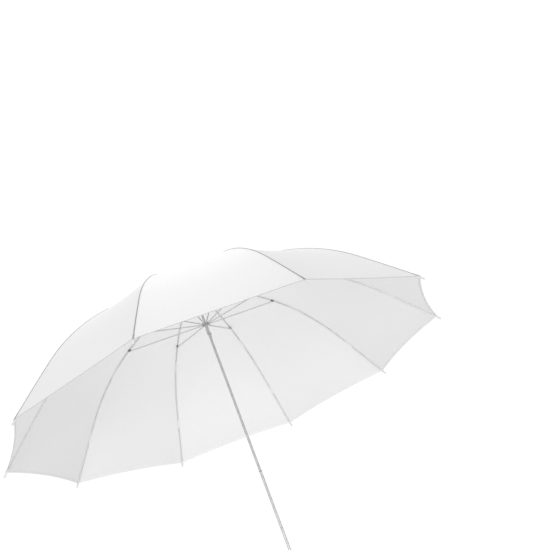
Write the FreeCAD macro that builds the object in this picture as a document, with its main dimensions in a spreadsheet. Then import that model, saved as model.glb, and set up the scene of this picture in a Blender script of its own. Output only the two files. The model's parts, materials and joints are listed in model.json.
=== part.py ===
import FreeCAD, Part
import math
import os

import Sketcher

# Translucent photographic umbrella on a plain shaft, open. +Z runs up the shaft to the crown.
# The origin is the centre of the shaft's lower end. Millimetres and degrees.

doc = FreeCAD.newDocument("umbrella")
sheet = doc.addObject("Spreadsheet::Sheet", "Sizes")

SIZES = [
    # how far a cut runs past the solid that it cuts
    ("overrun", "1"),
    # frame: the ribs' pivots at the crown, and the stations of the rib's three tangent arcs
    ("rib_count", "10"),
    ("hinge_height", "945"),
    ("hinge_radius", "10"),
    ("clip_radius", "297"),
    ("shoulder_radius", "524"),
    ("rim_radius", "655"),
    ("slope_crown", "4"),
    ("slope_clip", "20"),
    ("slope_shoulder", "46.5"),
    ("slope_rim", "48"),
    # ribs: a folded steel channel, open on its inner side, with a flat eye at the crown
    ("rib_width", "3.2"),
    ("rib_depth", "3.2"),
    ("rib_wall", "0.6"),
    ("rib_tail", "7"),
    ("channel_offset", "6.5"),
    ("web_offset", "11"),
    ("eye_radius", "2"),
    ("eye_bore", "0.8"),
    ("neck_width", "2"),
    ("neck_height", "2.8"),
    ("neck_length", "8"),
    # clips: a cheek on each side of the rib, with a rivet below it
    ("clip_width", "4.6"),
    ("clip_half_length", "5"),
    ("clip_foot", "2"),
    ("cheek_top", "1.2"),
    ("cheek_skirt", "2.2"),
    ("cheek_bottom", "5.8"),
    ("floor_top", "1.65"),
    ("floor_bottom", "2.15"),
    ("rivet_drop", "4.2"),
    ("rivet_radius", "0.7"),
    ("rivet_head", "1.2"),
    ("rivet_length", "5.6"),
    # stretchers: a lighter channel with an eye at each end
    ("stay_width", "2.8"),
    ("stay_depth", "2.6"),
    ("stay_wall", "0.5"),
    ("stay_end", "7"),
    ("stay_web", "9"),
    ("stay_neck", "8"),
    ("stay_neck_height", "2.6"),
    ("outer_eye_radius", "1.8"),
    ("outer_eye_bore", "0.85"),
    # rib tips: a moulded cap with a ball end, over the rib's tail
    ("tip_gap", "1"),
    ("tip_length", "14"),
    ("tip_mouth", "3"),
    ("tip_waist", "2.3"),
    ("tip_ball", "2.9"),
    ("tip_socket", "2.4"),
    ("tip_socket_depth", "8"),
    # crown: slotted notch, its wire and the cap over the cloth
    ("notch_radius", "11.5"),
    ("notch_height", "8"),
    ("notch_core", "9.2"),
    ("notch_groove", "1.6"),
    ("slot_floor", "6.6"),
    ("slot_width", "2.6"),
    ("wire_radius", "0.6"),
    ("cap_radius", "17"),
    ("cap_seat", "4"),
    ("cap_recess", "12.5"),
    ("cap_lip", "2.7"),
    ("cap_edge", "4.6"),
    ("cap_dome", "12"),
    ("cap_curve", "26"),
    ("knob_radius", "3"),
    ("knob_height", "17"),
    # shaft: a steel tube, with a window for the catch and a groove for the lower stop
    ("shaft_radius", "3.5"),
    ("shaft_bore", "2.6"),
    ("shaft_top", "5"),
    ("stop_height", "348.9"),
    ("stop_groove", "1.2"),
    ("stop_floor", "3"),
    ("stop_ring_radius", "5.4"),
    ("stop_ring_thickness", "1"),
    ("stop_ring_gap", "4"),
    ("plug_head", "3"),
    ("plug_nose", "2.4"),
    ("plug_length", "3"),
    ("plug_chamfer", "2"),
    ("plug_shank", "10"),
    # runner: slotted ring on a sleeve that slides on the shaft
    ("ring_radius", "11"),
    ("ring_height", "7"),
    ("ring_core", "9.2"),
    ("ring_groove", "1.6"),
    ("sleeve_radius", "4.8"),
    ("sleeve_bore", "3.7"),
    ("sleeve_length", "33"),
    ("collar_radius", "5.8"),
    ("collar_height", "3"),
    # catch: a leaf hinged inside the shaft, with a ledge under the sleeve
    ("catch_azimuth", "-18"),
    ("catch_height", "24.8"),
    ("catch_gap", "0.2"),
    ("catch_width", "1.6"),
    ("catch_pivot", "0.4"),
    ("catch_foot", "1.2"),
    ("catch_reach", "7.5"),
    ("catch_inner", "2.4"),
    ("catch_lip", "1.2"),
    ("window_width", "2.2"),
    ("window_margin", "1.2"),
    # canopy: one sewn gore between each two ribs
    ("cloth_gap", "0.4"),
    ("cloth_thickness", "0.5"),
    ("seam_gap", "0.35"),
    ("cloth_inner", "15"),
    ("scallop_depth", "17"),
]


def fill_sheet():
    for row, (alias, number) in enumerate(SIZES, start=1):
        sheet.set(f"A{row}", alias)
        sheet.set(f"B{row}", number)
        sheet.setAlias(f"B{row}", alias)
    doc.recompute()


def value(expression):
    """The number that an expression over the sheet gives."""
    return float(sheet.evalExpression(expression))


fill_sheet()

RIBS = int(value("Sizes.rib_count"))
PITCH = 360 / RIBS

# Stations of the rib's centre line, as (radius, slope) aliases from the crown to the rim.
STATIONS = [
    ("Sizes.hinge_radius", "Sizes.slope_crown"),
    ("Sizes.clip_radius", "Sizes.slope_clip"),
    ("Sizes.shoulder_radius", "Sizes.slope_shoulder"),
    ("Sizes.rim_radius", "Sizes.slope_rim"),
]


def bend_radius(index):
    """Radius of the arc from one station to the next, which keeps both slopes."""
    (near, near_slope), (far, far_slope) = STATIONS[index : index + 2]
    return f"(({far} - {near}) / (sin({far_slope}) - sin({near_slope})))"


def station_drop(index):
    """How far a station lies below the hinge."""
    falls = ["0"]
    for number in range(index):
        near_slope, far_slope = STATIONS[number][1], STATIONS[number + 1][1]
        falls.append(f"{bend_radius(number)} * (cos({near_slope}) - cos({far_slope}))")
    return "(" + " + ".join(falls) + ")"


def on_normal(radius, slope, drop, offset):
    """The point off the centre line by offset, outwards and upwards, as two expressions."""
    return f"{radius} + ({offset}) * sin({slope})", f"({offset}) * cos({slope}) - {drop}"


def along_first_arc(distance):
    """Radius, slope and drop of a point on the arc next to the crown."""
    radius = f"({STATIONS[0][0]} + {distance})"
    slope = f"asin(sin(Sizes.slope_crown) + {distance} / {bend_radius(0)})"
    drop = f"({bend_radius(0)} * (cos(Sizes.slope_crown) - cos({slope})))"
    return radius, slope, drop


# Pivots of the stretchers: on the rivet below the rib, and as far below it on the runner as the
# rib's own hinge is above it, so that rib and stretcher fold like an isosceles triangle.
RIVET = on_normal(STATIONS[1][0], STATIONS[1][1], station_drop(1), "-Sizes.rivet_drop")
RING_HEIGHT = f"(Sizes.hinge_height + 2 * ({RIVET[1]}))"
STAY_LENGTH = f"sqrt(({RIVET[0]} - Sizes.hinge_radius) ^ 2 + ({RIVET[1]}) ^ 2)"
STAY_ANGLE = f"atan(-({RIVET[1]}) / ({RIVET[0]} - Sizes.hinge_radius))"


def body(label):
    return doc.addObject("PartDesign::Body", label)


def new_sketch(owner, name, role):
    plane = next(f for f in owner.Origin.OriginFeatures if f.Role == role)
    sketch = owner.newObject("Sketcher::SketchObject", f"{owner.Label}_{name}")
    sketch.AttachmentSupport = [(plane, "")]
    sketch.MapMode = "FlatFace"
    return sketch


def bind(sketch, kind, where, expression):
    """Adds one dimension to the sketch and binds it to the expression."""
    number = sketch.addConstraint(Sketcher.Constraint(kind, *where, value(expression)))
    sketch.setExpression(f"Constraints[{number}]", expression)


def arc_between(start, end, radius, centre_on_left):
    chord = end - start
    across = FreeCAD.Vector(-chord.y, chord.x, 0).normalize()
    height = math.sqrt(radius**2 - (chord.Length / 2) ** 2)
    centre = (start + end) * 0.5 + across * (height if centre_on_left else -height)
    first, last = (start, end) if centre_on_left else (end, start)
    angles = [math.atan2(p.y - centre.y, p.x - centre.x) for p in (first, last)]
    circle = Part.Circle(centre, FreeCAD.Vector(0, 0, 1), radius)
    return Part.ArcOfCircle(circle, *angles)


def outline(owner, name, role, corners, arcs=None):
    """A closed outline. A corner is two expressions. arcs maps an edge to (radius, centre on left)."""
    arcs = arcs or {}
    sketch = new_sketch(owner, name, role)
    points = [FreeCAD.Vector(value(x), value(y), 0) for x, y in corners]
    ends = []
    for edge, start in enumerate(points):
        end = points[(edge + 1) % len(points)]
        if edge in arcs:
            radius, on_left = arcs[edge]
            sketch.addGeometry(arc_between(start, end, value(radius), on_left))
            ends.append((1, 2) if on_left else (2, 1))
        else:
            sketch.addGeometry(Part.LineSegment(start, end))
            ends.append((1, 2))
    for edge in range(len(points)):
        after = (edge + 1) % len(points)
        joined = (edge, ends[edge][1], after, ends[after][0])
        sketch.addConstraint(Sketcher.Constraint("Coincident", *joined))
    for edge, (x, y) in enumerate(corners):
        bind(sketch, "DistanceX", (edge, ends[edge][0]), x)
        bind(sketch, "DistanceY", (edge, ends[edge][0]), y)
    for edge, (radius, _) in arcs.items():
        bind(sketch, "Radius", (edge,), radius)
    return sketch


def box_outline(owner, name, role, low, high):
    corners = [low, (high[0], low[1]), high, (low[0], high[1])]
    return outline(owner, name, role, corners)


def disc(owner, name, role, centre, radius):
    sketch = new_sketch(owner, name, role)
    middle = FreeCAD.Vector(value(centre[0]), value(centre[1]), 0)
    sketch.addGeometry(Part.Circle(middle, FreeCAD.Vector(0, 0, 1), value(radius)))
    bind(sketch, "DistanceX", (0, 3), centre[0])
    bind(sketch, "DistanceY", (0, 3), centre[1])
    bind(sketch, "Radius", (0,), radius)
    return sketch


def extrude(kind, owner, name, sketch, length, side="Symmetric"):
    feature = owner.newObject(f"PartDesign::{kind}", f"{owner.Label}_{name}")
    feature.Profile = sketch
    feature.SideType = side
    feature.setExpression("Length", length)
    return feature


def turn(kind, owner, name, sketch):
    feature = owner.newObject(f"PartDesign::{kind}", f"{owner.Label}_{name}")
    feature.Profile = sketch
    feature.ReferenceAxis = (sketch, ["V_Axis"])
    feature.Angle = 360
    return feature


def slots_around(owner, depth):
    """Radial slots through the whole height of a notched ring, one for each rib."""
    low = ("Sizes.slot_floor", "-Sizes.slot_width / 2")
    high = ("Sizes.notch_radius + Sizes.overrun", "Sizes.slot_width / 2")
    sketch = box_outline(owner, "slot_outline", "XY_Plane", low, high)
    slot = extrude("Pocket", owner, "slot", sketch, depth)
    pattern = owner.newObject("PartDesign::PolarPattern", f"{owner.Label}_slots")
    pattern.Originals = [slot]
    pattern.Axis = (sketch, ["N_Axis"])
    pattern.Angle = 360
    pattern.setExpression("Occurrences", "Sizes.rib_count")
    owner.Tip = pattern


def place(owner, height, azimuth=0.0, radius="0", slope=0.0):
    """Stands a sub-part at its height, radius and azimuth, tipped down outwards by the slope."""
    across = FreeCAD.Rotation(FreeCAD.Vector(0, 0, 1), azimuth)
    tipped = FreeCAD.Rotation(FreeCAD.Vector(0, 1, 0), slope)
    base = across.multVec(FreeCAD.Vector(value(radius), 0, value(height)))
    owner.Placement = FreeCAD.Placement(base, across.multiply(tipped))
    return owner


def make_shaft():
    shaft = body("shaft")
    zero = ("0", "0")
    outer = disc(shaft, "outer", "XY_Plane", zero, "Sizes.shaft_radius")
    length = "Sizes.hinge_height + Sizes.shaft_top"
    extrude("Pad", shaft, "tube", outer, length, "One side")
    inner = disc(shaft, "inner", "XY_Plane", zero, "Sizes.shaft_bore")
    bore = extrude("Pocket", shaft, "bore", inner, length, "One side")
    bore.Reversed = True
    groove_low = ("Sizes.stop_floor", "Sizes.stop_height")
    groove_high = ("Sizes.shaft_radius + Sizes.overrun", "Sizes.stop_height + Sizes.stop_groove")
    groove = box_outline(shaft, "groove", "XZ_Plane", groove_low, groove_high)
    turn("Groove", shaft, "stop_groove", groove)
    top = f"{RING_HEIGHT} - Sizes.sleeve_length - Sizes.catch_gap"
    low = ("0", f"{top} - Sizes.catch_height - Sizes.window_margin")
    high = ("Sizes.shaft_radius + Sizes.overrun", f"{top} + Sizes.window_margin")
    window = box_outline(shaft, "window_outline", "XZ_Plane", low, high)
    extrude("Pocket", shaft, "window", window, "Sizes.window_width")
    return place(shaft, "0", value("Sizes.catch_azimuth"))


def make_end_plug():
    plug = body("end_plug")
    corners = [
        ("0", "-Sizes.plug_length"),
        ("Sizes.plug_nose", "-Sizes.plug_length"),
        ("Sizes.plug_head", "-Sizes.plug_chamfer"),
        ("Sizes.plug_head", "0"),
        ("Sizes.shaft_bore", "0"),
        ("Sizes.shaft_bore", "Sizes.plug_shank"),
        ("0", "Sizes.plug_shank"),
    ]
    turn("Revolution", plug, "turned", outline(plug, "section", "XZ_Plane", corners))
    return plug


def make_stop_ring():
    ring = body("stop_ring")
    zero = ("0", "0")
    outer = disc(ring, "outer", "XY_Plane", zero, "Sizes.stop_ring_radius")
    extrude("Pad", ring, "plate", outer, "Sizes.stop_ring_thickness")
    inner = disc(ring, "inner", "XY_Plane", zero, "Sizes.stop_floor")
    extrude("Pocket", ring, "bore", inner, "2 * Sizes.stop_ring_thickness")
    low = ("-Sizes.stop_ring_radius - Sizes.overrun", "-Sizes.stop_ring_gap / 2")
    gap = box_outline(ring, "gap", "XY_Plane", low, ("0", "Sizes.stop_ring_gap / 2"))
    extrude("Pocket", ring, "opening", gap, "2 * Sizes.stop_ring_thickness")
    return place(ring, "Sizes.stop_height + Sizes.stop_groove / 2")


def make_crown_notch():
    notch = body("crown_notch")
    zero = ("0", "0")
    outer = disc(notch, "outer", "XY_Plane", zero, "Sizes.notch_radius")
    extrude("Pad", notch, "disc", outer, "Sizes.notch_height")
    inner = disc(notch, "inner", "XY_Plane", zero, "Sizes.shaft_radius")
    extrude("Pocket", notch, "bore", inner, "2 * Sizes.notch_height")
    low = ("Sizes.notch_core", "-Sizes.notch_groove / 2")
    high = ("Sizes.notch_radius + Sizes.overrun", "Sizes.notch_groove / 2")
    groove = box_outline(notch, "groove", "XZ_Plane", low, high)
    turn("Groove", notch, "wire_groove", groove)
    slots_around(notch, "2 * Sizes.notch_height")
    return place(notch, "Sizes.hinge_height")


def make_crown_wire():
    wire = doc.addObject("Part::Torus", "crown_wire")
    wire.setExpression("Radius1", "Sizes.hinge_radius")
    wire.setExpression("Radius2", "Sizes.wire_radius")
    return place(wire, "Sizes.hinge_height")


def make_crown_cap():
    cap = body("crown_cap")
    corners = [
        ("0", "Sizes.shaft_top"),
        ("Sizes.shaft_radius", "Sizes.shaft_top"),
        ("Sizes.shaft_radius", "Sizes.cap_seat"),
        ("Sizes.cap_recess", "Sizes.cap_seat"),
        ("Sizes.cap_recess", "Sizes.cap_lip"),
        ("Sizes.cap_radius", "Sizes.cap_lip"),
        ("Sizes.cap_radius", "Sizes.cap_edge"),
        ("Sizes.knob_radius", "Sizes.cap_dome"),
        ("Sizes.knob_radius", "Sizes.knob_height - Sizes.knob_radius"),
        ("0", "Sizes.knob_height"),
    ]
    arcs = {6: ("Sizes.cap_curve", True), 8: ("Sizes.knob_radius", True)}
    section = outline(cap, "section", "XZ_Plane", corners, arcs)
    turn("Revolution", cap, "turned", section)
    return place(cap, "Sizes.hinge_height")


def make_runner():
    runner = body("runner")
    zero = ("0", "0")
    outer = disc(runner, "outer", "XY_Plane", zero, "Sizes.ring_radius")
    extrude("Pad", runner, "ring", outer, "Sizes.ring_height")
    low = ("Sizes.ring_core", "-Sizes.ring_groove / 2")
    high = ("Sizes.ring_radius + Sizes.overrun", "Sizes.ring_groove / 2")
    groove = box_outline(runner, "groove", "XZ_Plane", low, high)
    turn("Groove", runner, "wire_groove", groove)
    slots_around(runner, "2 * Sizes.ring_height")
    foot = "Sizes.collar_height - Sizes.sleeve_length"
    corners = [
        ("0", "-Sizes.sleeve_length"),
        ("Sizes.collar_radius", "-Sizes.sleeve_length"),
        ("Sizes.collar_radius", foot),
        ("Sizes.sleeve_radius", foot),
        ("Sizes.sleeve_radius", "0"),
        ("0", "0"),
    ]
    turn("Revolution", runner, "sleeve", outline(runner, "section", "XZ_Plane", corners))
    inner = disc(runner, "inner", "XY_Plane", zero, "Sizes.sleeve_bore")
    extrude("Pocket", runner, "bore", inner, "4 * Sizes.sleeve_length")
    return place(runner, RING_HEIGHT)


def make_catch():
    catch = body("catch_spring")
    inner_foot = "Sizes.catch_pivot - Sizes.catch_foot"
    outer_foot = "Sizes.catch_pivot + Sizes.catch_foot"
    corners = [
        (inner_foot, "0"),
        (outer_foot, "0"),
        ("Sizes.catch_reach", "Sizes.catch_height - Sizes.catch_lip"),
        ("Sizes.catch_reach", "Sizes.catch_height"),
        ("Sizes.catch_inner", "Sizes.catch_height"),
    ]
    leaf = outline(catch, "leaf_outline", "XZ_Plane", corners)
    extrude("Pad", catch, "leaf", leaf, "Sizes.catch_width")
    eye = disc(catch, "eye_outline", "XZ_Plane", ("Sizes.catch_pivot", "0"), "Sizes.catch_foot")
    extrude("Pad", catch, "eye", eye, "Sizes.catch_width")
    height = f"{RING_HEIGHT} - Sizes.sleeve_length - Sizes.catch_gap - Sizes.catch_height"
    return place(catch, height, value("Sizes.catch_azimuth"))


def rib_band(rib, name, start, low, high, tail):
    """The outline between two offsets of the rib's centre line, from start to the rim and on."""
    radius, slope, drop = along_first_arc(start)
    line = [(radius, slope, drop)]
    line += [(*STATIONS[i], station_drop(i)) for i in (1, 2, 3)]
    rim, rim_slope = STATIONS[3]
    run = f"({rim} + {tail} * cos({rim_slope}))"
    fall = f"({station_drop(3)} + {tail} * sin({rim_slope}))"
    line.append((run, rim_slope, fall))
    upper = [on_normal(*point, high) for point in line]
    lower = [on_normal(*point, low) for point in line]
    corners = upper + lower[::-1]
    arcs = {i: (f"{bend_radius(i)} + {high}", False) for i in range(3)}
    arcs |= {8 - i: (f"{bend_radius(i)} + {low}", True) for i in range(3)}
    return outline(rib, name, "XZ_Plane", corners, arcs)


def make_rib(index):
    rib = body(f"rib_{index + 1:02d}")
    half = "(Sizes.rib_depth / 2)"
    steel = rib_band(rib, "band", "Sizes.channel_offset", f"-{half}", half, "Sizes.rib_tail")
    extrude("Pad", rib, "steel", steel, "Sizes.rib_width")
    web = f"({half} - Sizes.rib_wall)"
    hollow = rib_band(rib, "hollow", "Sizes.web_offset", "-Sizes.rib_depth", web, "Sizes.tip_gap")
    extrude("Pocket", rib, "channel", hollow, "Sizes.rib_width - 2 * Sizes.rib_wall")
    near, far = "Sizes.hinge_radius", "Sizes.hinge_radius + Sizes.neck_length"
    fall = "Sizes.neck_length * tan(Sizes.slope_crown)"
    corners = [
        (near, "-Sizes.neck_height / 2"),
        (far, f"-Sizes.neck_height / 2 - {fall}"),
        (far, f"Sizes.neck_height / 2 - {fall}"),
        (near, "Sizes.neck_height / 2"),
    ]
    neck = outline(rib, "neck_outline", "XZ_Plane", corners)
    extrude("Pad", rib, "neck", neck, "Sizes.neck_width")
    centre = (near, "0")
    eye = disc(rib, "eye_outline", "XZ_Plane", centre, "Sizes.eye_radius")
    extrude("Pad", rib, "eye", eye, "Sizes.neck_width")
    hole = disc(rib, "hole_outline", "XZ_Plane", centre, "Sizes.eye_bore")
    extrude("Pocket", rib, "hole", hole, "2 * Sizes.neck_width")
    return place(rib, "Sizes.hinge_height", PITCH * index)


def make_clip(index):
    clip = body(f"rib_clip_{index + 1:02d}")
    side, foot = "Sizes.clip_half_length", "Sizes.clip_foot"
    corners = [
        (f"-{foot}", "-Sizes.cheek_bottom"),
        (foot, "-Sizes.cheek_bottom"),
        (side, "-Sizes.cheek_skirt"),
        (side, "Sizes.cheek_top"),
        (f"-{side}", "Sizes.cheek_top"),
        (f"-{side}", "-Sizes.cheek_skirt"),
    ]
    cheeks = outline(clip, "cheek_outline", "XZ_Plane", corners)
    extrude("Pad", clip, "cheeks", cheeks, "Sizes.clip_width")
    pivot = ("0", "-Sizes.rivet_drop")
    heads = disc(clip, "head_outline", "XZ_Plane", pivot, "Sizes.rivet_head")
    extrude("Pad", clip, "heads", heads, "Sizes.rivet_length")
    left, right = f"-{side} - Sizes.overrun", f"{side} + Sizes.overrun"
    for name, low, high in (
        ("passage", "-Sizes.floor_top", "Sizes.cheek_top + Sizes.overrun"),
        ("mouth", "-Sizes.cheek_bottom - Sizes.overrun", "-Sizes.floor_bottom"),
    ):
        gap = box_outline(clip, f"{name}_outline", "XZ_Plane", (left, low), (right, high))
        extrude("Pocket", clip, name, gap, "Sizes.rib_width")
    shank = disc(clip, "shank_outline", "XZ_Plane", pivot, "Sizes.rivet_radius")
    extrude("Pad", clip, "shank", shank, "Sizes.rivet_length")
    height = f"Sizes.hinge_height - {station_drop(1)}"
    slope = value("Sizes.slope_clip")
    return place(clip, height, PITCH * index, "Sizes.clip_radius", slope)


def make_stretcher(index):
    """A straight stay. Its own frame has the runner eye at the origin and the rivet eye on +X."""
    stay = body(f"stretcher_{index + 1:02d}")
    half = "Sizes.stay_depth / 2"
    low = ("Sizes.stay_end", f"-{half}")
    high = (f"{STAY_LENGTH} - Sizes.stay_end", half)
    steel = box_outline(stay, "band", "XZ_Plane", low, high)
    extrude("Pad", stay, "steel", steel, "Sizes.stay_width")
    low = ("Sizes.stay_web", f"-{half} - Sizes.overrun")
    high = (f"{STAY_LENGTH} - Sizes.stay_web", f"{half} - Sizes.stay_wall")
    hollow = box_outline(stay, "hollow", "XZ_Plane", low, high)
    extrude("Pocket", stay, "channel", hollow, "Sizes.stay_width - 2 * Sizes.stay_wall")
    inner = ("inner", "0", "Sizes.stay_neck", "Sizes.eye_radius", "Sizes.eye_bore")
    far = f"{STAY_LENGTH} - Sizes.stay_neck"
    outer = ("outer", STAY_LENGTH, far, "Sizes.outer_eye_radius", "Sizes.outer_eye_bore")
    for name, centre, root, radius, bore in (inner, outer):
        edges = (centre, root) if name == "inner" else (root, centre)
        low = (edges[0], "-Sizes.stay_neck_height / 2")
        high = (edges[1], "Sizes.stay_neck_height / 2")
        neck = box_outline(stay, f"{name}_neck_outline", "XZ_Plane", low, high)
        extrude("Pad", stay, f"{name}_neck", neck, "Sizes.neck_width")
        eye = disc(stay, f"{name}_eye_outline", "XZ_Plane", (centre, "0"), radius)
        extrude("Pad", stay, f"{name}_eye", eye, "Sizes.neck_width")
        hole = disc(stay, f"{name}_hole_outline", "XZ_Plane", (centre, "0"), bore)
        extrude("Pocket", stay, f"{name}_hole", hole, "2 * Sizes.neck_width")
    return place(stay, RING_HEIGHT, PITCH * index, "Sizes.hinge_radius", -value(STAY_ANGLE))


def make_rib_tip(index):
    """A moulded cap. Its own frame has the mouth at the origin, and +Z outwards along the rib."""
    number = f"{index + 1:02d}"
    cone = doc.addObject("Part::Cone", f"tip_cone_{number}")
    cone.setExpression("Radius1", "Sizes.tip_mouth")
    cone.setExpression("Radius2", "Sizes.tip_waist")
    cone.setExpression("Height", "Sizes.tip_length - Sizes.tip_ball")
    ball = doc.addObject("Part::Sphere", f"tip_ball_{number}")
    ball.setExpression("Radius", "Sizes.tip_ball")
    ball.setExpression("Placement.Base.z", "Sizes.tip_length - Sizes.tip_ball")
    solid = doc.addObject("Part::Fuse", f"tip_solid_{number}")
    solid.Base = cone
    solid.Tool = ball
    socket = doc.addObject("Part::Cylinder", f"tip_socket_{number}")
    socket.setExpression("Radius", "Sizes.tip_socket")
    socket.setExpression("Height", "Sizes.tip_socket_depth")
    tip = doc.addObject("Part::Cut", f"rib_tip_{number}")
    tip.Base = solid
    tip.Tool = socket
    slope = value("Sizes.slope_rim")
    radius = "Sizes.rim_radius + Sizes.tip_gap * cos(Sizes.slope_rim)"
    height = f"Sizes.hinge_height - {station_drop(3)} - Sizes.tip_gap * sin(Sizes.slope_rim)"
    return place(tip, height, PITCH * index, radius, 90 + slope)


def cloth_stations():
    """Radius, slope and drop at the cloth's inner edge and the rib's other stations, as numbers."""
    inner = value("Sizes.cloth_inner - Sizes.hinge_radius")
    places = [along_first_arc(f"{inner}")]
    places += [(*STATIONS[i], station_drop(i)) for i in (1, 2, 3)]
    return [tuple(value(expression) for expression in place_of) for place_of in places]


def cloth_curve(stations, offset):
    """The curve at one offset above the rib's centre line: its three arcs, and its two ends."""
    points = []
    for radius, slope, drop in stations:
        tilt = math.radians(slope)
        up = offset * math.cos(tilt) - drop
        points.append(FreeCAD.Vector(radius + offset * math.sin(tilt), 0, up))
    arcs = []
    for number in range(len(points) - 1):
        slopes = [math.radians(stations[i][1]) for i in (number, number + 1)]
        bend = value(bend_radius(number)) + offset
        near, middle = [
            FreeCAD.Vector(math.sin(angle), 0, math.cos(angle)) for angle in (slopes[0], sum(slopes) / 2)
        ]
        through = points[number] + (middle - near) * bend
        arcs.append(Part.Arc(points[number], through, points[number + 1]).toShape())
    return arcs, points[0], points[-1]


def cloth_section():
    """The cloth's section in a rib's own plane: a band between two curves above the rib."""
    stations = cloth_stations()
    low = value("Sizes.rib_depth / 2 + Sizes.cloth_gap")
    lower, lower_crown, lower_rim = cloth_curve(stations, low)
    upper, upper_crown, upper_rim = cloth_curve(stations, low + value("Sizes.cloth_thickness"))
    crown_edge = Part.LineSegment(lower_crown, upper_crown).toShape()
    rim_edge = Part.LineSegment(lower_rim, upper_rim).toShape()
    return Part.Wire(Part.sortEdges([*lower, rim_edge, *upper, crown_edge])[0])


def gore_plan(half_angle):
    """The gore seen from above: its seams beside the two ribs, and the scalloped rim between them."""
    apex = value("Sizes.seam_gap") / math.sin(half_angle)
    # far enough past the rim to clear the corners of the cloth, which stand off the rib
    corner_x = value("Sizes.rim_radius + 2 * Sizes.rib_depth") * math.cos(half_angle)
    corner_y = (corner_x - apex) * math.tan(half_angle)
    scallop = corner_x - value("Sizes.scallop_depth")
    corners = [FreeCAD.Vector(corner_x, side * corner_y, 0) for side in (-1, 1)]
    point = FreeCAD.Vector(apex, 0, 0)
    edges = [
        Part.LineSegment(point, corners[0]).toShape(),
        Part.Arc(corners[0], FreeCAD.Vector(scallop, 0, 0), corners[1]).toShape(),
        Part.LineSegment(corners[1], point).toShape(),
    ]
    return Part.Face(Part.Wire(edges))


def make_gore_shape():
    """A panel stretched straight from rib to rib: a rib's section, drawn in to the mid plane."""
    half_angle = math.radians(PITCH / 2)
    squeeze = FreeCAD.Matrix()
    squeeze.scale(math.cos(half_angle), 1, 1)
    section = Part.Face(cloth_section().transformGeometry(squeeze))
    width = value("Sizes.rim_radius")
    section.translate(FreeCAD.Vector(0, -width / 2, 0))
    sheet_solid = section.extrude(FreeCAD.Vector(0, width, 0))
    plan = gore_plan(half_angle)
    tall = value("Sizes.hinge_height")
    plan.translate(FreeCAD.Vector(0, 0, -tall))
    return sheet_solid.common(plan.extrude(FreeCAD.Vector(0, 0, 2 * tall)))


def make_gore(shape, index):
    gore = doc.addObject("Part::Feature", f"gore_{index + 1:02d}")
    gore.Shape = shape
    return place(gore, "Sizes.hinge_height", PITCH * (index + 0.5))


def make_all():
    nodes = [
        make_shaft(),
        make_end_plug(),
        make_stop_ring(),
        make_crown_notch(),
        make_crown_wire(),
        make_crown_cap(),
        make_runner(),
        make_catch(),
    ]
    gore_shape = make_gore_shape()
    for index in range(RIBS):
        nodes.append(make_rib(index))
        nodes.append(make_clip(index))
        nodes.append(make_stretcher(index))
        nodes.append(make_rib_tip(index))
        nodes.append(make_gore(gore_shape, index))
    doc.recompute()
    return nodes


def check(nodes):
    for item in doc.Objects:
        bad = {"Invalid", "Error"} & set(item.State)
        if bad:
            raise RuntimeError(f"{item.Label} is {sorted(bad)}")
    for node in nodes:
        if node.Shape.isNull() or not node.Shape.isValid():
            raise RuntimeError(f"{node.Label} has no valid shape")


nodes = make_all()
check(nodes)
os.makedirs("parts", exist_ok=True)
for node in nodes:
    node.Shape.exportStep(f"parts/{node.Label}.step")
print(f"{len(nodes)} sub-parts, ring at {value(RING_HEIGHT):.3f}, stay {value(STAY_LENGTH):.3f} mm")
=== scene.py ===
import json
import math

import bpy
import numpy as np
from mathutils import Matrix, Vector


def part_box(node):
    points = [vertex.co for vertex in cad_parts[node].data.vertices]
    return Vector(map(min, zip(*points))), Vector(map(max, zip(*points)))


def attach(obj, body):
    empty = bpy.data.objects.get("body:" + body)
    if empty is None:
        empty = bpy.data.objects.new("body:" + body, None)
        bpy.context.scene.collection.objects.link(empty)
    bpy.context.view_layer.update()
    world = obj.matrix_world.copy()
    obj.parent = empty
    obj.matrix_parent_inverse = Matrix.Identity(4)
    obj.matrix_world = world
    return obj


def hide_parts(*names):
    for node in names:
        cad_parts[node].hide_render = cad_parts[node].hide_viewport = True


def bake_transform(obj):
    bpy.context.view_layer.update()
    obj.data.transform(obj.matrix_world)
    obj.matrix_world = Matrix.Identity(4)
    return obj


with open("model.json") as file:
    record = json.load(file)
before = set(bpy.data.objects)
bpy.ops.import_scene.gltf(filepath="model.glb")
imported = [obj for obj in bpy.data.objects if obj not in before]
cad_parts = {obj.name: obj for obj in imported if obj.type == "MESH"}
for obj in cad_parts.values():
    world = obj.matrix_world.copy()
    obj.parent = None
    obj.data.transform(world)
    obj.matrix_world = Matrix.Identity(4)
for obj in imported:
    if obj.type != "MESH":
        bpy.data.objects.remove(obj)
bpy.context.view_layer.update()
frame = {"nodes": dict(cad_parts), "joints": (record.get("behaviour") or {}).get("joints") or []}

# The umbrella's cloth with its sewing, its bent wires, a finish for every CAD piece, and a plain
# studio. Lengths are in metres.

MM = 0.001
JOINTS = {joint["name"]: joint for joint in frame["joints"]}
RIBS = sum(name.startswith("rib_fold_") for name in JOINTS)
PITCH = 2 * math.pi / RIBS
HALF = PITCH / 2
HINGE_RADIUS, _, HINGE_HEIGHT = JOINTS["rib_fold_01"]["pos_m"]

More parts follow.
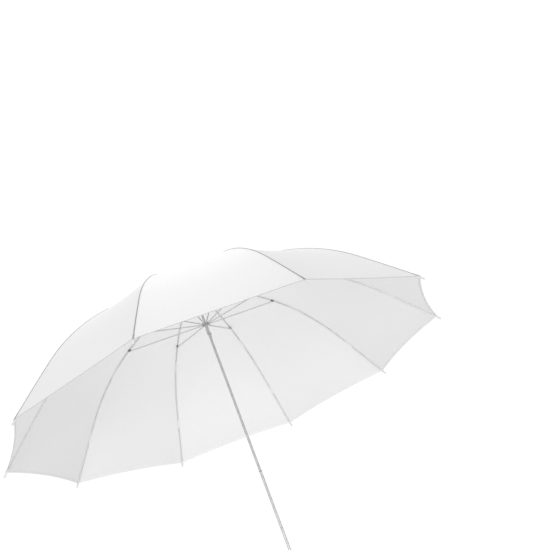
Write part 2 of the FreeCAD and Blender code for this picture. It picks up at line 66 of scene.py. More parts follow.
# The rib's centre line is three tangent arcs. Each station is a radius from the shaft, in metres, and
# the line's slope there, in degrees below the horizontal.
STATIONS = ((HINGE_RADIUS, 4.0), (0.297, 20.0), (0.524, 46.5), (0.655, 48.0))
RIM = STATIONS[-1][0]
RIM_SLOPE = math.radians(STATIONS[-1][1])
CLOTH_LIFT = 2.45 * MM  # of the cloth above the rib's centre line
CLOTH_START = 15 * MM  # radius at which the cloth begins, under the crown cap
SCALLOP = 7 * MM  # how far the rim is cut back half way between two ribs
SAG = 9 * MM  # half way between two ribs, where the cloth sags most
FULL_SAG_RADIUS = 0.5  # the radius at which it does
RIM_HOLD = 0.45  # share of the sag that the tight rim takes away
LENGTH_SAMPLES = 400
AREA_SAMPLES = 600


def number_of(index):
    """The two digits in a piece's name, for a rib or gore counted from 0."""
    return f"{index % RIBS + 1:02d}"


# ---------------------------------------------------------------- shape of the frame and the cloth


def rib_profile(radius):
    """Drop below the hinge, and slope, of the rib's centre line at a radius."""
    radius = np.asarray(radius, float)
    drop, slope = np.zeros_like(radius), np.zeros_like(radius)
    fallen = 0.0
    for (near, near_slope), (far, far_slope) in zip(STATIONS, STATIONS[1:]):
        first, last = math.radians(near_slope), math.radians(far_slope)
        bend = (far - near) / (math.sin(last) - math.sin(first))
        here = radius >= near
        sine = math.sin(first) + (radius[here] - near) / bend
        slope[here] = np.arcsin(sine)
        drop[here] = fallen + bend * (math.cos(first) - np.cos(slope[here]))
        fallen += bend * (math.cos(first) - math.cos(last))
    return drop, slope


def turned(out, side, up, azimuth):
    """Points from their outward, sideways and upward distances in a plane at that azimuth."""
    cosine, sine = math.cos(azimuth), math.sin(azimuth)
    return np.stack([out * cosine - side * sine, out * sine + side * cosine, up], -1)


def sag_at(across, radius):
    """How far the cloth lies inside the straight line from rib to rib."""
    rim_share = np.clip((radius - FULL_SAG_RADIUS) / (RIM - FULL_SAG_RADIUS), 0, 1)
    held = np.clip(radius / FULL_SAG_RADIUS, 0, 1) * (1 - RIM_HOLD * rim_share**2)
    return SAG * 4 * across * (1 - across) * held


def cloth_point(gore, across, radius, lift=0.0):
    """Points of one gore. across is 0 on its first rib and 1 on its second."""
    across, radius = np.broadcast_arrays(np.asarray(across, float), np.asarray(radius, float))
    drop, slope = rib_profile(radius)
    offset = CLOTH_LIFT + lift
    out = radius + offset * np.sin(slope)
    sag = sag_at(across, radius)
    middle = out * math.cos(HALF) - sag * np.sin(slope)
    side = (2 * across - 1) * out * math.sin(HALF)
    up = HINGE_HEIGHT - drop + offset * np.cos(slope) - sag * np.cos(slope)
    return turned(middle, side, up, PITCH * gore + HALF)


def rim_radius(across):
    """The radius at which the scalloped rim ends the cloth."""
    bow = 1 - (2 * np.asarray(across, float) - 1) ** 2
    return RIM - SCALLOP / math.cos(HALF) * bow


def cloth_width(radius):
    """Straight distance from rib to rib at a radius."""
    return 2 * radius * math.sin(HALF)


def beside_rib(rib, side, radius, lift):
    """Points on the cloth beside a rib, at a signed distance from the seam."""
    share = np.abs(side) / cloth_width(radius)
    right = cloth_point(rib, share, radius, lift)
    left = cloth_point(rib - 1, 1 - share, radius, lift)
    return np.where((side >= 0)[..., None], right, left)


def rib_point(rib, radius, side, lift):
    """Points about a rib's centre line, sideways and along its upper normal."""
    drop, slope = rib_profile(radius)
    out = radius + lift * np.sin(slope)
    up = HINGE_HEIGHT - drop + lift * np.cos(slope)
    return turned(out, side, up, PITCH * rib)


def integral(values, places):
    """Area under a line of values, by the trapezoid rule."""
    return float(np.sum((values[1:] + values[:-1]) / 2 * np.diff(places)))


def arc_length(start, end):
    """Length of the rib's line between two radii."""
    radii = np.linspace(start, end, LENGTH_SAMPLES)
    _, slope = rib_profile(radii)
    return integral(1 / np.cos(slope), radii)


# ---------------------------------------------------------------- meshes

STITCH_PITCH = 3.4 * MM
STITCH_LENGTH = 2.4 * MM
STITCH_THICK = 0.4 * MM
# A stitch is a long double pyramid. Its corners are its two ends, then its two sides, top and bottom.
STITCH_FACES = (
    (0, 2, 4), (2, 1, 4), (1, 3, 4), (3, 0, 4),
    (2, 0, 5), (1, 2, 5), (3, 1, 5), (0, 3, 5),
)


class Pile:
    """Points and faces gathered for one mesh.

    Each point has a blend weight and cloth coordinates, and each face the number of its material.
    """

    def __init__(self):
        self.points, self.faces, self.paints = [], [], []
        self.weights, self.coordinates = [], []

    def add(self, points, faces, paint=0, weights=0.0, coordinates=None):
        """Points, and faces whose corners count from the first of them."""
        points = np.asarray(points, float).reshape(-1, 3)
        first = len(self.points)
        self.points.extend(points.tolist())
        self.faces.extend([tuple(first + corner for corner in face) for face in faces])
        self.paints.extend([paint] * len(faces))
        self.weights.extend(np.broadcast_to(weights, len(points)).tolist())
        if coordinates is None:
            coordinates = points[:, :2]
        self.coordinates.extend(np.asarray(coordinates, float).reshape(-1, 2).tolist())

    def skin(self, rings, closed=True, looped=False, **extra):
        """Faces between rings of points.

        Closed rings make a tube and open ones a sheet. A looped tube ends where it begins, and any
        other tube has a cap at both ends.
        """
        count, size = rings.shape[:2]
        faces = []
        for ring in range(count if looped else count - 1):
            after = (ring + 1) % count
            for place in range(size if closed else size - 1):
                beside = (place + 1) % size
                corners = (ring, place), (ring, beside), (after, beside), (after, place)
                faces.append(tuple(row * size + column for row, column in corners))
        if closed and not looped:
            faces.append(tuple(range(size))[::-1])
            faces.append(tuple((count - 1) * size + place for place in range(size)))
        self.add(rings, faces, coordinates=laid_flat(rings), **extra)


def laid_flat(rings):
    """Distances along and across a band of rings, in metres, for its weave."""
    across = np.zeros(rings.shape[:2])
    across[:, 1:] = np.cumsum(np.linalg.norm(np.diff(rings, axis=1), axis=-1), axis=1)
    across -= across.mean(axis=1, keepdims=True)
    along = np.zeros(rings.shape[:2])
    along[1:] = np.cumsum(np.linalg.norm(np.diff(rings, axis=0), axis=-1), axis=0)
    return np.stack([across, along], -1)


def piece_from(pile, name, materials):
    """One object from a pile, shaded smooth, with the pile's cloth coordinates as its UV map."""
    mesh = bpy.data.meshes.new(name)
    mesh.from_pydata(pile.points, [], pile.faces)
    for material in materials:
        mesh.materials.append(material)
    mesh.polygons.foreach_set("material_index", pile.paints)
    mesh.polygons.foreach_set("use_smooth", [True] * len(pile.faces))
    layer = mesh.uv_layers.new(name="cloth")
    corners = np.zeros(len(mesh.loops), int)
    mesh.loops.foreach_get("vertex_index", corners)
    layer.data.foreach_set("uv", np.asarray(pile.coordinates)[corners].ravel())
    mesh.validate()
    piece = bpy.data.objects.new(name, mesh)
    bpy.context.scene.collection.objects.link(piece)
    return piece


def blend_over_gore(piece, gore):
    """The piece's transform is baked into its mesh.
    """
    first, last = cloth_point(gore, 0.0, RIM), cloth_point(gore, 1.0, RIM)
    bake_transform(piece)


def directions(path):
    """Unit directions along a line of points."""
    along = np.gradient(path, axis=0)
    return along / np.linalg.norm(along, axis=1, keepdims=True)


def add_stitches(pile, points, normals, paint, weights=None):
    """A row of short threads lying along a line of points, on a surface with those normals."""
    along = directions(points)
    side = np.cross(along, normals)
    if weights is None:
        weights = np.zeros(len(points))
    spacing = np.linalg.norm(np.diff(points, axis=0), axis=1).mean()
    change = np.gradient(weights) * STITCH_LENGTH / spacing / 2
    for number, centre in enumerate(points):
        ends = along[number] * STITCH_LENGTH / 2
        width = side[number] * STITCH_THICK / 2
        height = normals[number] * STITCH_THICK / 2
        corners = [centre - ends, centre + ends, centre - width, centre + width]
        corners += [centre + height, centre - height]
        weight = weights[number] + change[number] * np.array([-1, 1, 0, 0, 0, 0])
        pile.add(corners, STITCH_FACES, paint=paint, weights=weight)


# ---------------------------------------------------------------- materials

WEAVE_PITCH = 0.55 * MM
THREAD_PITCH = 0.3 * MM
WEAVE_DEPTH = 0.03 * MM
RIPPLE_DEPTH = 1.2 * MM
SLUB_STRETCH = (900, 25, 1)  # slubs are narrow across the cloth and long along it
DRAWN_DEPTH = 0.02 * MM
DRAWN_STRETCH = {"shaft": (22, 14, 1), "ribs": (2600, 30, 1)}  # round and along the piece
POLISHED = 0.07  # how much smoother than the rest the brightest drawn lines are
DULLED = 0.12  # how much rougher the dull marks are
GRAIN_DEPTH = 0.03 * MM


def grey(level, blue=0.0):
    """A grey in linear light, with a little more blue where it looks cool."""
    return level, level, level + blue


def new_material(name):
    """A material with its nodes, links, main shader and output."""
    material = bpy.data.materials.new(name)
    material.use_nodes = True
    nodes, links = material.node_tree.nodes, material.node_tree.links
    return material, nodes, links, nodes["Principled BSDF"], nodes["Material Output"]


def coloured_noise(nodes, links, source, low, high, scale):
    """Noise between two colours."""
    noise = nodes.new("ShaderNodeTexNoise")
    noise.inputs["Scale"].default_value = scale
    noise.inputs["Detail"].default_value = 4.0
    ramp = nodes.new("ShaderNodeValToRGB")
    ramp.color_ramp.elements[0].position = 0.3
    ramp.color_ramp.elements[1].position = 0.7
    ramp.color_ramp.elements[0].color = (*low, 1)
    ramp.color_ramp.elements[1].color = (*high, 1)
    links.new(source, noise.inputs["Vector"])
    links.new(noise.outputs["Fac"], ramp.inputs["Fac"])
    return ramp.outputs["Color"]


def add_bump(nodes, links, height, distance, strength, below=None):
    """A bump from a height, on top of another bump where one is given."""
    bump = nodes.new("ShaderNodeBump")
    bump.inputs["Distance"].default_value = distance
    bump.inputs["Strength"].default_value = strength
    links.new(height, bump.inputs["Height"])
    if below is not None:
        links.new(below, bump.inputs["Normal"])
    return bump.outputs["Normal"]


def cloth_material(name, low, high, translucency, weave=WEAVE_PITCH):
    """Plain-woven nylon: threads both ways, faint slubs, and light that comes through."""
    material, nodes, links, shader, output = new_material(name)
    place = nodes.new("ShaderNodeUVMap")
    place.uv_map = "cloth"
    threads = []
    for direction in ("X", "Y"):
        wave = nodes.new("ShaderNodeTexWave")
        wave.wave_type = "BANDS"
        wave.bands_direction = direction
        # Bands of scale 1 repeat every pi / 10.
        wave.inputs["Scale"].default_value = math.pi / 10 / weave
        wave.inputs["Distortion"].default_value = 0.6
        wave.inputs["Detail"].default_value = 1.0
        wave.inputs["Detail Scale"].default_value = 0.3
        links.new(place.outputs["UV"], wave.inputs["Vector"])
        threads.append(wave.outputs["Fac"])
    cross = nodes.new("ShaderNodeMath")
    cross.operation = "MAXIMUM"
    links.new(threads[0], cross.inputs[0])
    links.new(threads[1], cross.inputs[1])
    slubs = nodes.new("ShaderNodeMapping")
    slubs.inputs["Scale"].default_value = SLUB_STRETCH
    links.new(place.outputs["UV"], slubs.inputs["Vector"])
    colour = coloured_noise(nodes, links, slubs.outputs["Vector"], low, high, scale=1.0)
    soft = nodes.new("ShaderNodeTexNoise")
    soft.inputs["Scale"].default_value = 14
    soft.inputs["Detail"].default_value = 3
    links.new(place.outputs["UV"], soft.inputs["Vector"])
    ripple = add_bump(nodes, links, soft.outputs["Fac"], RIPPLE_DEPTH, strength=0.6)
    normal = add_bump(nodes, links, cross.outputs[0], WEAVE_DEPTH, strength=0.8, below=ripple)
    links.new(colour, shader.inputs["Base Color"])
    links.new(normal, shader.inputs["Normal"])
    shader.inputs["Roughness"].default_value = 0.62
    shader.inputs["Specular IOR Level"].default_value = 0.25
    shader.inputs["Sheen Weight"].default_value = 0.12
    shader.inputs["Sheen Roughness"].default_value = 0.4
    through = nodes.new("ShaderNodeBsdfTranslucent")
    links.new(colour, through.inputs["Color"])
    mix = nodes.new("ShaderNodeMixShader")
    mix.inputs["Fac"].default_value = translucency
    links.new(shader.outputs["BSDF"], mix.inputs[1])
    links.new(through.outputs["BSDF"], mix.inputs[2])
    links.new(mix.outputs["Shader"], output.inputs["Surface"])
    return material


def metal_material(name, low, high, lines, roughness, metallic=1.0):
    """Plated or painted steel with drawn lines that run along the piece, and small dull marks.

    lines is "shaft" for lines up the shaft, and "ribs" for lines out from it.
    """
    material, nodes, links, shader, _ = new_material(name)
    place = nodes.new("ShaderNodeTexCoord")
    split = nodes.new("ShaderNodeSeparateXYZ")
    links.new(place.outputs["Object"], split.inputs["Vector"])
    angle = nodes.new("ShaderNodeMath")
    angle.operation = "ARCTAN2"
    links.new(split.outputs["Y"], angle.inputs[0])
    links.new(split.outputs["X"], angle.inputs[1])
    join = nodes.new("ShaderNodeCombineXYZ")
    links.new(angle.outputs[0], join.inputs["X"])
    links.new(split.outputs["Z"], join.inputs["Y"])
    stretch = nodes.new("ShaderNodeMapping")
    stretch.inputs["Scale"].default_value = DRAWN_STRETCH[lines]
    links.new(join.outputs["Vector"], stretch.inputs["Vector"])
    drawn = nodes.new("ShaderNodeTexNoise")
    drawn.inputs["Scale"].default_value = 1.0
    drawn.inputs["Detail"].default_value = 5.0
    links.new(stretch.outputs["Vector"], drawn.inputs["Vector"])
    colour = coloured_noise(nodes, links, place.outputs["Object"], low, high, scale=70.0)
    links.new(colour, shader.inputs["Base Color"])
    marks = nodes.new("ShaderNodeMapRange")
    marks.inputs["To Min"].default_value = roughness - POLISHED
    marks.inputs["To Max"].default_value = roughness + DULLED
    links.new(drawn.outputs["Fac"], marks.inputs["Value"])
    links.new(marks.outputs["Result"], shader.inputs["Roughness"])
    normal = add_bump(nodes, links, drawn.outputs["Fac"], DRAWN_DEPTH, strength=0.5)
    links.new(normal, shader.inputs["Normal"])
    shader.inputs["Metallic"].default_value = metallic
    return material


def plastic_material(name, low, high, roughness):
    """Moulded plastic: a fine grain, a soft coat and faint flow marks."""
    material, nodes, links, shader, _ = new_material(name)
    place = nodes.new("ShaderNodeTexCoord")
    colour = coloured_noise(nodes, links, place.outputs["Object"], low, high, scale=90.0)
    links.new(colour, shader.inputs["Base Color"])
    grain = nodes.new("ShaderNodeTexNoise")
    grain.inputs["Scale"].default_value = 1800
    grain.inputs["Detail"].default_value = 2
    links.new(place.outputs["Object"], grain.inputs["Vector"])
    normal = add_bump(nodes, links, grain.outputs["Fac"], GRAIN_DEPTH, strength=0.4)
    links.new(normal, shader.inputs["Normal"])
    shader.inputs["Roughness"].default_value = roughness
    shader.inputs["Coat Weight"].default_value = 0.15
    shader.inputs["Coat Roughness"].default_value = 0.3
    return material


def floor_material():
    """Matt paint, a little uneven."""
    material, nodes, links, shader, _ = new_material("pale_floor")
    place = nodes.new("ShaderNodeTexCoord")
    low, high = grey(0.90), grey(0.94)
    colour = coloured_noise(nodes, links, place.outputs["Object"], low, high, scale=0.6)
    links.new(colour, shader.inputs["Base Color"])
    shader.inputs["Roughness"].default_value = 0.8
    return material


CLOTH = cloth_material("white_nylon", grey(0.82, 0.005), grey(0.85, 0.005), translucency=0.33)
DOUBLE_CLOTH = cloth_material(
    "white_nylon_folded", grey(0.82, 0.005), grey(0.86, 0.005), translucency=0.06
)
# A grey cloth for the hem's rolled edge: painted shade under the hem.
HEM_EDGE_PAINTED_SHADE = cloth_material("grey_edging", grey(0.46, 0.01), grey(0.56, 0.01), translucency=0.05)
# A dark grey cloth for the seams: painted shade along each seam and the rib under it.
SEAM_TAPE_PAINTED_SHADE = cloth_material("grey_seam_tape", grey(0.24, 0.005), grey(0.32, 0.005), translucency=0.05)
THREAD = cloth_material("white_thread", grey(0.80), grey(0.88), translucency=0.1, weave=THREAD_PITCH)
SHAFT_STEEL = metal_material("satin_steel_tube", grey(0.50), grey(0.60), "shaft", roughness=0.34)
RIB_STEEL = metal_material(
    "plated_rib_steel", grey(0.80), grey(0.88), "ribs", roughness=0.42, metallic=0.35
)
STRETCHER_STEEL = metal_material(
    "stretcher_steel", grey(0.68), grey(0.78), "ribs", roughness=0.40, metallic=0.5
)
WIRE_STEEL = metal_material("bright_spring_steel", grey(0.50), grey(0.62), "ribs", roughness=0.28)
CLIP_STEEL = metal_material(
    "dark_pressed_steel", grey(0.24), grey(0.32), "ribs", roughness=0.45, metallic=0.7
)
RUNNER_METAL = metal_material(
    "grey_runner", grey(0.52), grey(0.60), "shaft", roughness=0.4, metallic=0.8
)
DARK_PLASTIC = plastic_material("dark_plastic", grey(0.045), grey(0.07), roughness=0.5)
CAP_PLASTIC = plastic_material("pale_grey_plastic", grey(0.46), grey(0.54), roughness=0.4)
TIP_PLASTIC = plastic_material("white_plastic", grey(0.64), grey(0.71), roughness=0.32)

CAD_MATERIALS = {
    "shaft": SHAFT_STEEL,
    "end_plug": DARK_PLASTIC,
    "stop_ring": WIRE_STEEL,
    "crown_notch": DARK_PLASTIC,
    "crown_wire": WIRE_STEEL,
    "crown_cap": CAP_PLASTIC,
    "runner": RUNNER_METAL,
    "catch_spring": WIRE_STEEL,
    "rib_clip": CLIP_STEEL,
    "rib_tip": TIP_PLASTIC,
    "rib": RIB_STEEL,
    "stretcher": STRETCHER_STEEL,
}


def paint_cad():
    """Every CAD node that stays gets its own finish."""
    for name, node in frame["nodes"].items():
        kind = name.rstrip("0123456789").rstrip("_")
        if kind == "gore":
            continue
        node.data.materials.clear()
        node.data.materials.append(CAD_MATERIALS[kind])


# ---------------------------------------------------------------- canopy

GORE_ACROSS = 28
GORE_ALONG = 64
NORMAL_STEP = 1e-4

HEM_STEPS = 60
HEM_INSET = 0.009  # share of the gore's width between the hem's end and the seam
HEM_THICK = 0.45 * MM
# The section of the turned rim, from its upper sewn edge round to its lower one: millimetres in from
# the rim, and height above the cloth in thicknesses.
HEM_SECTION = (
    (7.0, 0.05), (6.8, 0.8), (2.6, 1.0), (0.3, 1.0), (-0.3, 0.6), (-0.45, 0.0),
    (-0.25, -0.7), (0.4, -1.0), (3.5, -1.0), (6.8, -0.8), (7.0, -0.05),
)
HEM_DEPTH = HEM_SECTION[0][0] * MM
# Material 1 greys the outer face and rolled edge of the hem, as painted shade under its edge.
HEM_BANDS = ((0, 2, 0), (2, 5, 1), (5, 10, 0))  # first and last point of the section, and material
HEM_STITCH_LINE = 0.82  # share of the hem's depth
HEM_STITCH_INSET = 0.01
HEM_STITCH_RISE = 0.1  # share of the thread's thickness

# The section of a sewn strip: shares of its half width and of its thickness.
STRIP_SECTION = (
    (-1, 0), (-0.93, 0.75), (-0.55, 0.9), (0, 1), (0.55, 0.9), (0.93, 0.75),
    (1, 0), (0.6, 0), (0, 0), (-0.6, 0),
)
STRIP_STITCH_HEIGHT = 0.95  # share of the strip's thickness

SEAM_START = CLOTH_START + 3 * MM
SEAM_END = RIM - 5.5 * MM
SEAM_STEPS = 90
SEAM_HALF = 1.55 * MM
SEAM_FLOOR = 0.25 * MM
SEAM_THICK = 0.55 * MM
SEAM_ROWS = (0,)  # rows of stitches, as shares of the half width

TAB_START = RIM - 15 * MM
TAB_END = RIM + 0.4 * MM
TAB_STEPS = 14
TAB_HALF = 2.4 * MM
TAB_TAPER = 0.9  # share of that half width left at its outer end
TAB_FLOOR = 0.75 * MM
TAB_THICK = 0.45 * MM
TAB_ROWS = (-0.7, 0.7)

SLEEVE_SIDES = 20
SLEEVE_STEPS = 9
SLEEVE_SQUARENESS = 3.2  # 2 would be a circle
RIPPLE_PER_RING = 2.1  # radians
RIPPLE_PER_RIB = 1.3

TIES = ((0.357, 52 * MM), (0.543, 33 * MM))  # radius at which each starts, and its length on the rib
TIE_INNER = 1.68 * MM
TIE_OUTER = 2.02 * MM
TIE_RIPPLE = 0.03
WHIPPING_INSET = 1.5 * MM
WHIPPING_WIDTH = 1 * MM
WHIPPING_INNER = 1.8 * MM
WHIPPING_OUTER = 2.09 * MM
WHIPPING_STEPS = 3

FERRULE_START = RIM - 7 * MM
FERRULE_END = RIM + 0.2 * MM
FERRULE_INNER = 1.62 * MM
FERRULE_OUTER = 1.74 * MM


def surface_normals(points_at):
    """Unit normals of a surface, given as a function of two shifts."""
    one = points_at(NORMAL_STEP, 0) - points_at(-NORMAL_STEP, 0)
    other = points_at(0, NORMAL_STEP) - points_at(0, -NORMAL_STEP)
    normal = np.cross(one, other)
    return normal / np.linalg.norm(normal, axis=-1, keepdims=True)


def gore_area():
    """Flat area of a gore's cut: its width along the rib's line, less the scallop.

    The scallop is a parabola, so it takes two thirds of its length times its depth.
    """
    radii = np.linspace(CLOTH_START, RIM, AREA_SAMPLES)
    _, slope = rib_profile(radii)
    whole = integral(cloth_width(radii) / np.cos(slope), radii)
    scallop = 2 / 3 * cloth_width(RIM) * SCALLOP / math.cos(RIM_SLOPE)
    return whole - scallop


def make_gore(index):
    """One panel of the canopy, from the crown cap to the scalloped rim."""
    across = np.linspace(0, 1, GORE_ACROSS + 1)[None, :]
    along = np.linspace(0, 1, GORE_ALONG + 1)[:, None]
    radius = CLOTH_START + along * (rim_radius(across) - CLOTH_START)
    pile = Pile()
    weights = np.broadcast_to(across, radius.shape).ravel()
    rings = cloth_point(index, across, radius)
    pile.skin(rings, closed=False, weights=weights)
    gore = piece_from(pile, f"canopy_{number_of(index)}", [CLOTH])
    blend_over_gore(gore, index)
    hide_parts(f"gore_{number_of(index)}")
    return gore


def make_hem(index):
    """The rim turned over twice, with a row of stitches on each face."""
    across = np.linspace(HEM_INSET, 1 - HEM_INSET, HEM_STEPS + 1)
    depth, lift = np.array(HEM_SECTION).T * np.array([[MM], [HEM_THICK]])
    edge = rim_radius(across)[:, None]
    fall = math.cos(RIM_SLOPE)
    rings = cloth_point(index, across[:, None], edge - depth[None, :] * fall, lift[None, :])
    pile = Pile()
    for first, last, paint in HEM_BANDS:
        band = rings[:, first : last + 1]
        weights = np.repeat(across, band.shape[1])
        pile.skin(band, closed=False, paint=paint, weights=weights)
    count = int(cloth_width(RIM) / STITCH_PITCH)
    places = np.linspace(HEM_STITCH_INSET, 1 - HEM_STITCH_INSET, count)
    line = rim_radius(places) - HEM_STITCH_LINE * HEM_DEPTH * fall
    for face in (1, -1):
        height = face * (HEM_THICK + HEM_STITCH_RISE * STITCH_THICK)
        points = cloth_point(index, places, line, height)
        normals = surface_normals(lambda a, b: cloth_point(index, places + a, line + b, height))
        add_stitches(pile, points, normals, 2, places)
    cloths = [DOUBLE_CLOTH, HEM_EDGE_PAINTED_SHADE, THREAD]
    hem = piece_from(pile, f"hem_{number_of(index)}", cloths)
    blend_over_gore(hem, index)
    return hem


def strip_over_seam(pile, rib, radii, half_width, floor, thick, rows):
    """A sewn strip along a rib's seam, which follows the cloth on both sides.

    floor is the height of its underside above the cloth, and rows says where its stitches are.
    """
    shape, rise = np.array(STRIP_SECTION, float).T
    side = shape[None, :] * half_width[:, None]
    lift = floor + thick * rise[None, :]
    pile.skin(beside_rib(rib, side, radii[:, None], lift))
    count = int(arc_length(radii[0], radii[-1]) / STITCH_PITCH)
    places = np.linspace(radii[0], radii[-1], count + 2)[1:-1]
    height = floor + STRIP_STITCH_HEIGHT * thick
    for row in rows:
        side = row * np.interp(places, radii, half_width)
        points = beside_rib(rib, side, places, height)
        normals = surface_normals(lambda a, b: beside_rib(rib, side + a, places + b, height))
        add_stitches(pile, points, normals, 1)


def make_seam(index):
    """The flat-felled seam on top of a rib, with a wider tab sewn over it at the corner. Both are dark
    grey: painted shade along the seam and the rib beneath it.
    """
    pile = Pile()
    radii = np.linspace(SEAM_START, SEAM_END, SEAM_STEPS)
    width = np.full_like(radii, SEAM_HALF)
    strip_over_seam(pile, index, radii, width, SEAM_FLOOR, SEAM_THICK, SEAM_ROWS)
    radii = np.linspace(TAB_START, TAB_END, TAB_STEPS)
    width = np.linspace(TAB_HALF, TAB_TAPER * TAB_HALF, TAB_STEPS)
    strip_over_seam(pile, index, radii, width, TAB_FLOOR, TAB_THICK, TAB_ROWS)
    seam = piece_from(pile, f"seam_{number_of(index)}", [SEAM_TAPE_PAINTED_SHADE, THREAD])
    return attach(seam, f"arm_{number_of(index)}")


def circle_angles(count):
    """Even angles round a full turn."""
    return np.arange(count) * 2 * math.pi / count


def rounded_square(half):
    """Sideways and upward distances round a square of that half width, with rounded corners."""
    angles = circle_angles(SLEEVE_SIDES)
    power = 2 / SLEEVE_SQUARENESS
    cosine, sine = np.cos(angles), np.sin(angles)
    side = np.sign(cosine) * np.abs(cosine) ** power * half
    up = np.sign(sine) * np.abs(sine) ** power * half
    return side, up


def sleeve_on_rib(pile, rib, start, end, inner, outer, ripple=0.0, paint=0, steps=SLEEVE_STEPS):
    """A short sleeve round a rib between two radii, given the half widths of its faces.

    ripple is the share by which the outer face swells and shrinks along it.
    """
    rings = []
    radii = np.linspace(start, end, steps)
    for half, swing, path in ((outer, ripple, radii), (inner, 0.0, radii[::-1])):
        side, up = rounded_square(half)
        for number, radius in enumerate(path):
            swell = 1 + swing * math.sin(RIPPLE_PER_RING * number + RIPPLE_PER_RIB * rib)
            rings.append(rib_point(rib, np.full(len(side), radius), side * swell, up * swell))
    pile.skin(np.array(rings), looped=True, paint=paint)


def make_ties(index):
    """Two cloth ties that wrap the rib and hold the canopy to it, each whipped with thread."""
    pile = Pile()
    for start, length in TIES:
        _, slope = rib_profile(np.array([start]))
        end = start + length * math.cos(slope[0])
        sleeve_on_rib(pile, index, start, end, TIE_INNER, TIE_OUTER, ripple=TIE_RIPPLE)
        for near in (start + WHIPPING_INSET, end - WHIPPING_INSET - WHIPPING_WIDTH):
            far = near + WHIPPING_WIDTH
            halves = (WHIPPING_INNER, WHIPPING_OUTER)
            sleeve_on_rib(pile, index, near, far, *halves, paint=1, steps=WHIPPING_STEPS)
    ties = piece_from(pile, f"rib_ties_{number_of(index)}", [DOUBLE_CLOTH, THREAD])
    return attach(ties, f"arm_{number_of(index)}")


def make_ferrule(index):
    """The crimped end of the rib, just inside the canopy's corner."""
    pile = Pile()
    sleeve_on_rib(pile, index, FERRULE_START, FERRULE_END, FERRULE_INNER, FERRULE_OUTER)
    ferrule = piece_from(pile, f"rib_ferrule_{number_of(index)}", [RIB_STEEL])
    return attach(ferrule, f"arm_{number_of(index)}")


def make_canopy():
    """All the gores, each with the pieces sewn to it, and the crimped end of every rib."""
    length = arc_length(CLOTH_START, RIM)
    area = gore_area()
    for index in range(RIBS):
        gore = make_gore(index)
        with_it = [make_hem(index), make_seam(index), make_ties(index)]
        make_ferrule(index)


# ---------------------------------------------------------------- wires

WIRE_RADIUS = 0.6 * MM
WIRE_SIDES = 10
LOOP_STEPS = 72
RUNNER_WIRE_DEPTH = 3.5 * MM  # below the runner's top

END_RADIUS = 0.5 * MM  # half the thickness of each twisted end
END_STEPS = 40
END_TURNS = 2.75
END_SWAY = 0.55 * MM  # of each end about the line that they twist round
END_REACH = 2.4 * MM  # how far that line stands out from the loop
END_DROP = 6.5 * MM
# Shares of the end's length that it takes to reach its full sway and reach, and to turn down.
END_SWAY_SHARE = 1 / 4
END_REACH_SHARE = 1 / 3
END_LEVEL_SHARE = 0.12
ASKEW = np.array([0.31, 0.22, 0.93])  # a direction in which no wire runs


def wire_rings(path, radius, first, second):
    """Rings round a line of points, each in the plane of two directions."""
    angles = circle_angles(WIRE_SIDES)[None, :, None]
    return path[:, None] + radius * (np.cos(angles) * first[:, None] + np.sin(angles) * second[:, None])


def loop_rings(height):
    """The closed loop of wire that runs through the eyes."""
    turn = np.linspace(0, 2 * math.pi, LOOP_STEPS, endpoint=False)
    out = np.stack([np.cos(turn), np.sin(turn), 0 * turn], -1)
    along = np.stack([-np.sin(turn), np.cos(turn), 0 * turn], -1)
    path = HINGE_RADIUS * out
    path[:, 2] = height
    return wire_rings(path, WIRE_RADIUS, out, np.cross(out, along))


def end_rings(height, phase):
    """One end of the wire: it leaves the loop between two ribs, and winds down round the other."""
    share = np.linspace(0, 1, END_STEPS)
    twist = phase + share * END_TURNS * 2 * math.pi
    sway = END_SWAY * np.minimum(1, share / END_SWAY_SHARE)
    reach = END_REACH * np.minimum(1, share / END_REACH_SHARE)
    out = HINGE_RADIUS + reach + sway * np.cos(twist)
    up = height - END_DROP * np.maximum(0, share - END_LEVEL_SHARE) / (1 - END_LEVEL_SHARE)
    path = turned(out, sway * np.sin(twist), up, HALF)
    along = directions(path)
    side = np.cross(along, ASKEW)
    side /= np.linalg.norm(side, axis=1, keepdims=True)
    return wire_rings(path, END_RADIUS, side, np.cross(along, side))


def make_wire(name, body, height, with_loop):
    """The wire through the eyes, or only its two twisted ends where the loop is a CAD node."""
    pile = Pile()
    if with_loop:
        pile.skin(loop_rings(height), looped=True)
    for phase in (0.0, math.pi):
        pile.skin(end_rings(height, phase))
    wire = piece_from(pile, name, [WIRE_STEEL])
    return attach(wire, body)


def make_wires():
    """At the runner, where CAD has no wire, and at the crown, where it has the loop."""
    runner_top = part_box("runner")[1][2]
    make_wire("runner_wire", "slider", runner_top - RUNNER_WIRE_DEPTH, with_loop=True)
    make_wire("crown_wire_twist", "mast", HINGE_HEIGHT, with_loop=False)


# ---------------------------------------------------------------- stage, lights and camera

CAMERA_PLACE = Vector((-0.1669, -2.4096, -0.1197))
CAMERA_TURN = 9.832
CAMERA_TILT = 22.469
CAMERA_ROLL = -22.754
CAMERA_LENS = 56.76  # millimetres
CAMERA_SENSOR = 36
CAMERA_NEAR = 0.05
FLOOR_HEIGHT = -1.3
FLOOR_SIZE = 240
BACKDROP_WHITE = 1.02
SKY_LIGHT = 0.71
LIGHT_TARGET = Vector((0, 0, 0.75))
# Name, place, diameter, power in watts and full angle of the beam in degrees.
LIGHTS = (
    ("above", (0, 0, 1.95), 0.8, 10.0, 180),
    ("front_left", (-2.2, -3.5, -0.35), 1.5, 9.6, 60),
    ("front_right", (2.8, -3.1, -0.35), 1.5, 6.2, 60),
    ("back_right", (2.2, 1.6, 3.8), 2.0, 8.0, 180),
)


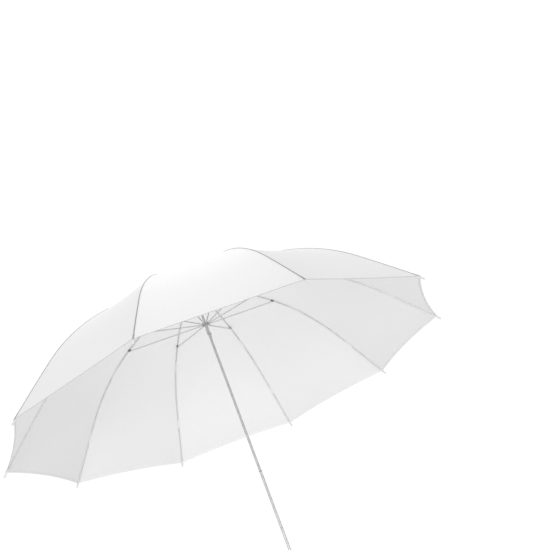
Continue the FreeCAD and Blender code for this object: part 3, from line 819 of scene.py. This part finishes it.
def make_camera():
    """Turned from +Y towards +X, tilted up and rolled, in degrees."""
    data = bpy.data.cameras.new("camera")
    data.lens = CAMERA_LENS
    data.sensor_width = CAMERA_SENSOR
    data.clip_start = CAMERA_NEAR
    camera = bpy.data.objects.new("camera", data)
    bpy.context.scene.collection.objects.link(camera)
    turn = Matrix.Rotation(math.radians(-CAMERA_TURN), 4, "Z")
    tilt = Matrix.Rotation(math.radians(90 + CAMERA_TILT), 4, "X")
    roll = Matrix.Rotation(math.radians(CAMERA_ROLL), 4, "Z")
    camera.matrix_world = Matrix.Translation(CAMERA_PLACE) @ turn @ tilt @ roll
    bpy.context.scene.camera = camera


def make_floor():
    """A plain pale floor, wide enough that its edge lies at the horizon."""
    bpy.ops.mesh.primitive_plane_add(size=FLOOR_SIZE, location=(0, 0, FLOOR_HEIGHT))
    floor = bpy.context.object
    floor.name = "floor"
    floor.data.materials.append(floor_material())


def make_light(name, place, diameter, power, beam):
    """A round soft box aimed at the middle of the canopy."""
    data = bpy.data.lights.new(name, "AREA")
    data.shape = "DISK"
    data.size = diameter
    data.energy = power
    data.spread = math.radians(beam)
    light = bpy.data.objects.new(name, data)
    bpy.context.scene.collection.objects.link(light)
    light.location = place
    light.rotation_euler = (LIGHT_TARGET - Vector(place)).to_track_quat("-Z", "Y").to_euler()


def make_sky():
    """A white surround: full white behind the object, softer as light."""
    world = bpy.data.worlds.new("studio")
    world.use_nodes = True
    bpy.context.scene.world = world
    nodes, links = world.node_tree.nodes, world.node_tree.links
    lit = nodes["Background"]
    lit.inputs["Color"].default_value = (1, 1, 1, 1)
    lit.inputs["Strength"].default_value = SKY_LIGHT
    seen = nodes.new("ShaderNodeBackground")
    seen.inputs["Color"].default_value = (1, 1, 1, 1)
    seen.inputs["Strength"].default_value = BACKDROP_WHITE
    path = nodes.new("ShaderNodeLightPath")
    mix = nodes.new("ShaderNodeMixShader")
    links.new(path.outputs["Is Camera Ray"], mix.inputs["Fac"])
    links.new(lit.outputs["Background"], mix.inputs[1])
    links.new(seen.outputs["Background"], mix.inputs[2])
    links.new(mix.outputs["Shader"], nodes["World Output"].inputs["Surface"])


bpy.context.scene.view_settings.view_transform = "Standard"
make_camera()
make_floor()
make_sky()
for light in LIGHTS:
    make_light(*light)
paint_cad()
make_canopy()
make_wires()
